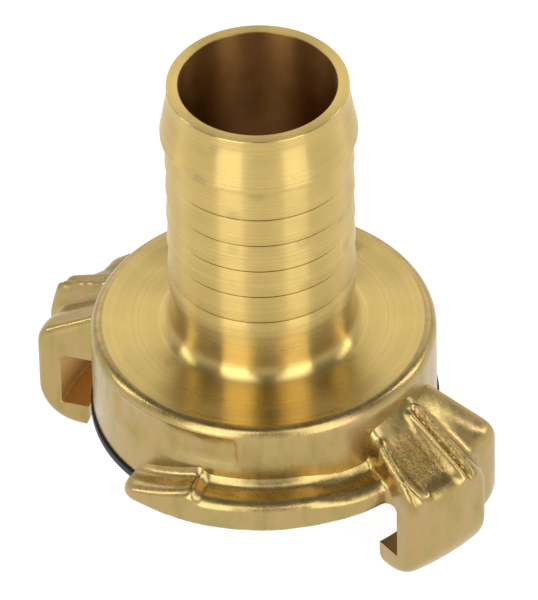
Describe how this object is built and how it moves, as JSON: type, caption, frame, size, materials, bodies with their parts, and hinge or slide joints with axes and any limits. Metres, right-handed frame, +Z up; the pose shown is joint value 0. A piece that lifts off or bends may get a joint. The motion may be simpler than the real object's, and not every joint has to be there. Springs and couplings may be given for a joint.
{
  "type": "quarter turn claw hose coupling",
  "caption": "Brass quarter-turn coupling half with hooked claws, ramped locking flange, rubber face seal and a serrated hose tail.",
  "frame": {"origin": "on the axis of the waterway, in the plane of the undersides of the claws on which the part stands", "axes": "+Z up along the waterway towards the tip of the hose tail, +X through the middle of one claw, -X through the other, +Y completes the right-handed frame"},
  "size_m": [0.0542, 0.0436, 0.053],
  "materials": {
    "brass": "forged and turned, satin",
    "rubber": "moulded, matte"
  },
  "bodies": {
    "root": {"coupling_body": "brass", "face_seal": "rubber"}
  },
  "joints": []
}
